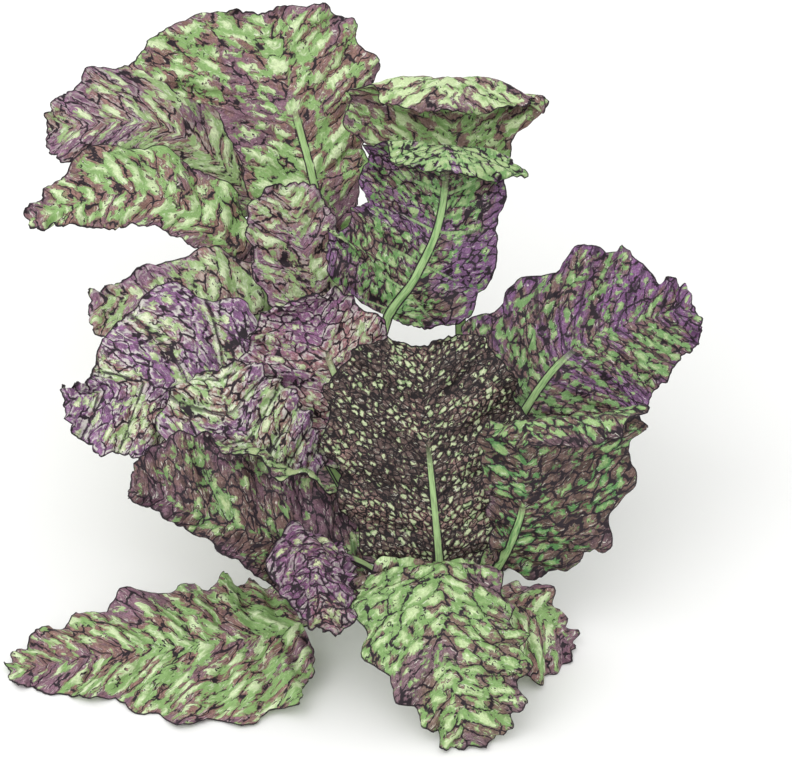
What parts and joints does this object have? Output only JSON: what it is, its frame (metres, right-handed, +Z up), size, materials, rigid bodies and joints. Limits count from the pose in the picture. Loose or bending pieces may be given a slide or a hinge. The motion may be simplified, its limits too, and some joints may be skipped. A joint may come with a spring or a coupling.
{
  "type": "red mustard greens head",
  "caption": "Loose head of broad, ruffled red mustard leaves on channelled stalks, cut at the crown and set down with its outer leaves spread on the surface.",
  "frame": {"origin": "middle of the crown's flat cut face, on the surface that the head stands on", "axes": "+Z up; -Y towards the side that faces the picture's viewer, where the drooping front leaf comes down; +X to that viewer's right"},
  "size_m": [0.4104, 0.4192, 0.2774],
  "materials": {
    "crown": "satin",
    "leaf_green": "satin",
    "leaf_purple": "satin",
    "leaf_dark": "satin"
  },
  "bodies": {
    "root": {"crown": "crown", "leaf_back_tall": "leaf_green", "leaf_back_curled": "leaf_green", "leaf_back_folded": "leaf_purple", "leaf_far_left_upper": "leaf_green", "leaf_far_left_lower": "leaf_green", "leaf_left_back": "leaf_green", "leaf_young_left": "leaf_green", "leaf_left_broad": "leaf_purple", "leaf_left_fan": "leaf_purple", "leaf_left_trough": "leaf_dark", "leaf_inner_left": "leaf_purple", "leaf_heart": "leaf_dark", "leaf_right_broad": "leaf_purple", "leaf_right_inner": "leaf_dark", "leaf_front_drooping": "leaf_green", "leaf_front_right": "leaf_green", "leaf_front_small": "leaf_purple", "leaf_front_left_long": "leaf_green", "leaf_rear_left": "leaf_green", "leaf_rear_right": "leaf_green"}
  },
  "joints": []
}
